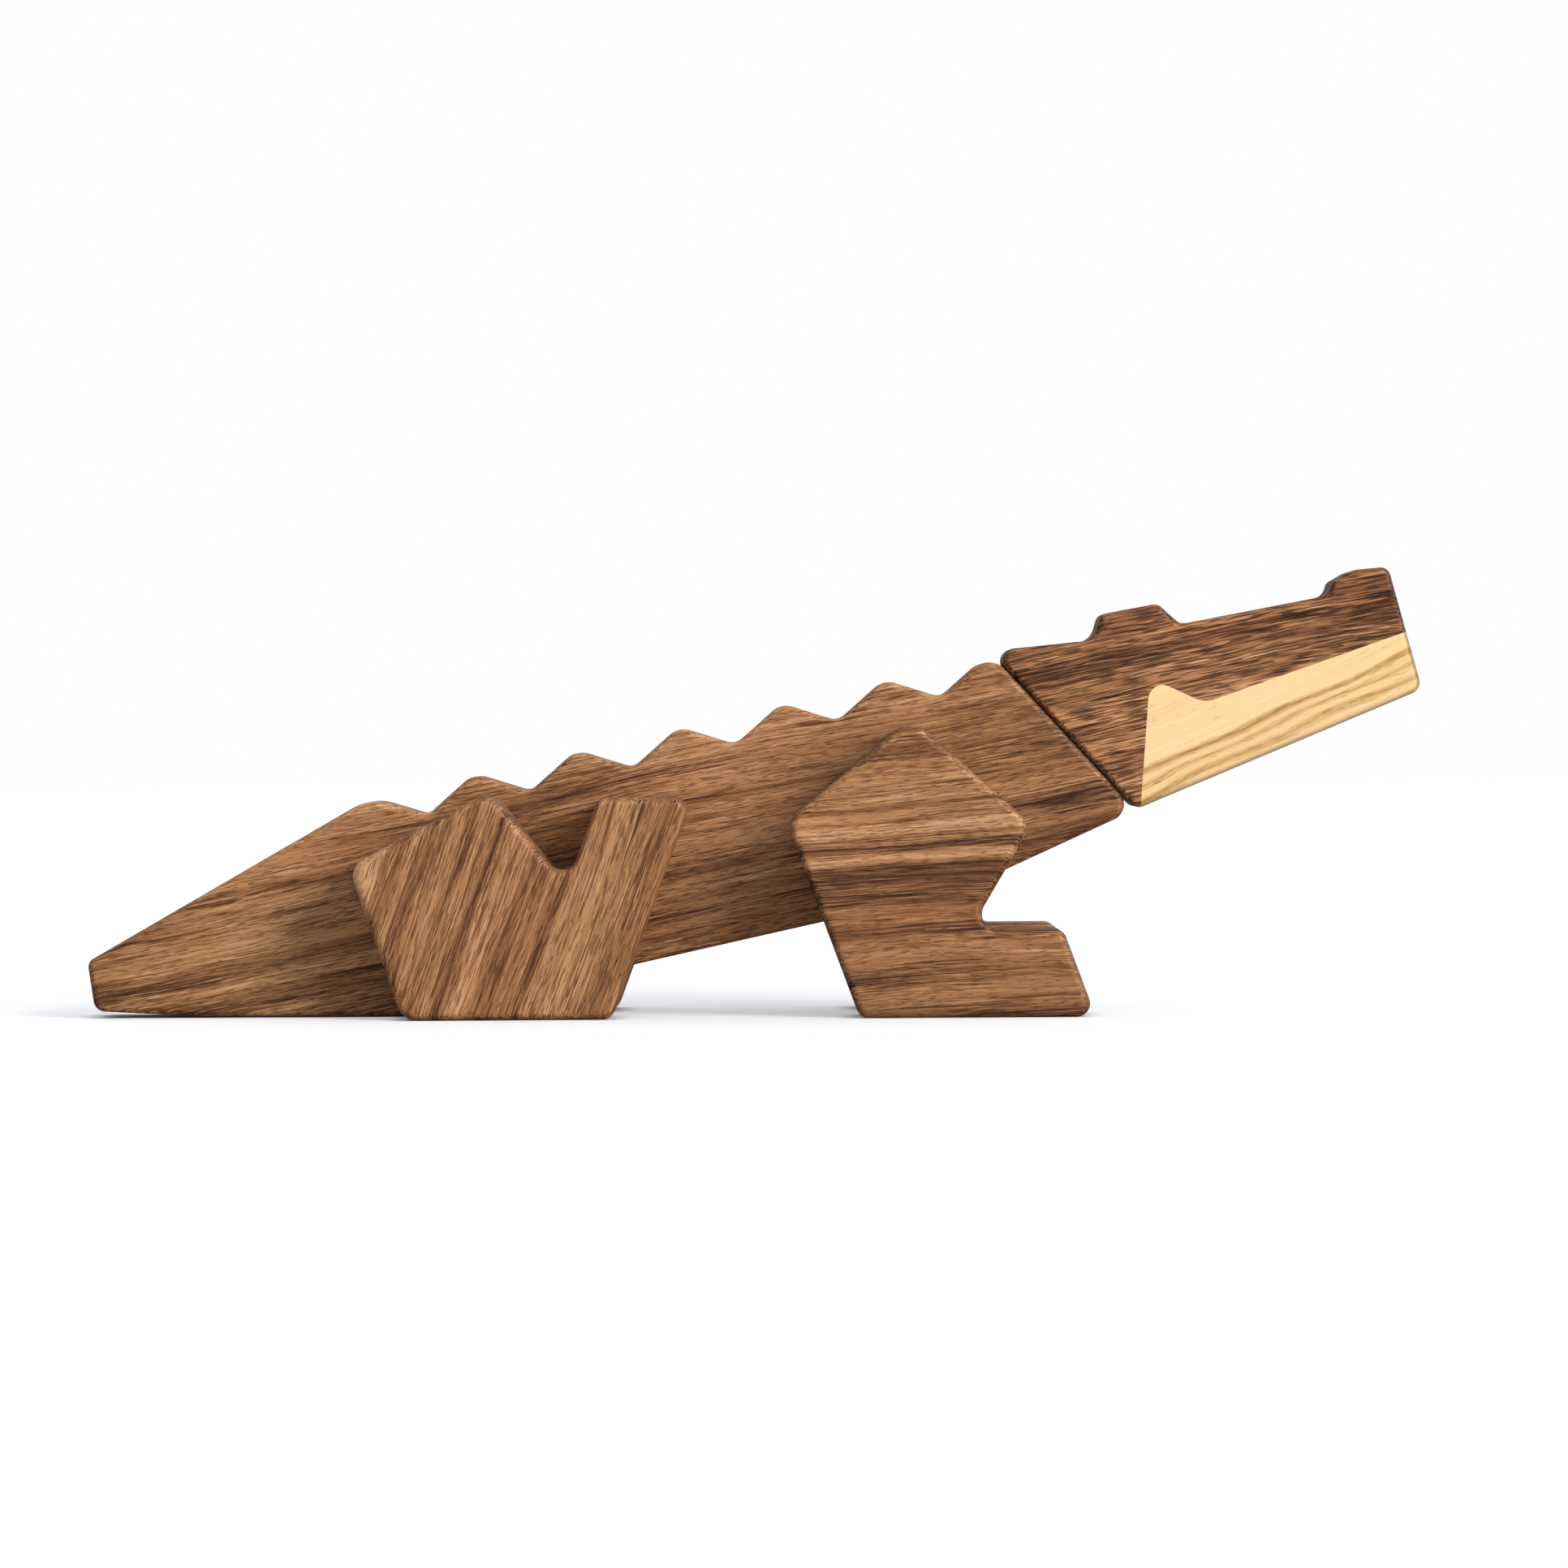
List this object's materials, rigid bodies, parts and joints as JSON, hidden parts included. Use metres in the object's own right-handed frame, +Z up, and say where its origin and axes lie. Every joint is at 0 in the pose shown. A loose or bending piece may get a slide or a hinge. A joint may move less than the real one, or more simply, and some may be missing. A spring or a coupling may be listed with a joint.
{
  "type": "wooden crocodile figure",
  "caption": "Flat wooden crocodile figure: head and legs hold to the body board on hidden disc magnets, so they swivel and pull off. Stands on its leg soles and tail.",
  "frame": {"origin": "on the ground, at the middle of the figure's length and width", "axes": "+X towards the snout, +Y across the boards to the crocodile's left, +Z up"},
  "size_m": [0.329, 0.0602, 0.1093],
  "materials": {
    "body_walnut": "oiled walnut, grain rising gently towards the neck",
    "leg_walnut": "oiled walnut, strongly banded grain along the foot",
    "head_walnut": "oiled dark walnut with short dark pores",
    "jaw_ash": "oiled pale ash with tan growth bands",
    "plug_walnut": "oiled walnut plug, sanded flush",
    "magnet_nickel": "nickel plating"
  },
  "bodies": {
    "torso": {"body_board": "body_walnut", "neck_magnet": "magnet_nickel", "neck_plug": "plug_walnut", "front_right_body_magnet": "magnet_nickel", "front_right_body_plug": "plug_walnut", "front_left_body_magnet": "magnet_nickel", "front_left_body_plug": "plug_walnut", "hind_right_body_magnet": "magnet_nickel", "hind_right_body_plug": "plug_walnut", "hind_left_body_magnet": "magnet_nickel", "hind_left_body_plug": "plug_walnut"},
    "front_right_hub": {"front_right_leg_magnet": "magnet_nickel"},
    "front_right_limb": {"front_right_leg": "leg_walnut", "front_right_leg_plug": "plug_walnut"},
    "front_left_hub": {"front_left_leg_magnet": "magnet_nickel"},
    "front_left_limb": {"front_left_leg": "leg_walnut", "front_left_leg_plug": "plug_walnut"},
    "hind_right_hub": {"hind_right_leg_magnet": "magnet_nickel"},
    "hind_right_limb": {"hind_right_leg": "leg_walnut", "hind_right_leg_plug": "plug_walnut"},
    "hind_left_hub": {"hind_left_leg_magnet": "magnet_nickel"},
    "hind_left_limb": {"hind_left_leg": "leg_walnut", "hind_left_leg_plug": "plug_walnut"},
    "head_hub": {"head_magnet": "magnet_nickel"},
    "head": {"head_upper": "head_walnut", "lower_jaw": "jaw_ash", "head_plug": "plug_walnut"}
  },
  "joints": [
    {"name": "front_right_leg_pull_off", "type": "slide", "parent": "torso", "child": "front_right_hub", "axis": [0, -1, 0], "range_m": [0, 0.03]},
    {"name": "front_right_leg_swivel", "type": "hinge", "parent": "front_right_hub", "child": "front_right_limb", "pos_m": [0.0378, -0.0101, 0.0478], "axis": [0, -1, 0], "range_deg": [-90, 35]},
    {"name": "front_left_leg_pull_off", "type": "slide", "parent": "torso", "child": "front_left_hub", "axis": [0, 1, 0], "range_m": [0, 0.03]},
    {"name": "front_left_leg_swivel", "type": "hinge", "parent": "front_left_hub", "child": "front_left_limb", "pos_m": [0.0378, 0.0101, 0.0478], "axis": [0, -1, 0], "range_deg": [-90, 35]},
    {"name": "hind_right_leg_pull_off", "type": "slide", "parent": "torso", "child": "hind_right_hub", "axis": [0, -1, 0], "range_m": [0, 0.03]},
    {"name": "hind_right_leg_swivel", "type": "hinge", "parent": "hind_right_hub", "child": "hind_right_limb", "pos_m": [-0.0754, -0.0101, 0.02799], "axis": [0, -1, 0], "range_deg": [-180, 65]},
    {"name": "hind_left_leg_pull_off", "type": "slide", "parent": "torso", "child": "hind_left_hub", "axis": [0, 1, 0], "range_m": [0, 0.03]},
    {"name": "hind_left_leg_swivel", "type": "hinge", "parent": "hind_left_hub", "child": "hind_left_limb", "pos_m": [-0.0754, 0.0101, 0.02799], "axis": [0, -1, 0], "range_deg": [-180, 65]},
    {"name": "head_pull_off", "type": "slide", "parent": "torso", "child": "head_hub", "axis": [0.7386, 0, 0.6742], "range_m": [0, 0.04]},
    {"name": "head_swivel", "type": "hinge", "parent": "head_hub", "child": "head", "pos_m": [0.0764, 0, 0.0694], "axis": [0.7386, 0, 0.6742], "continuous": true}
  ]
}
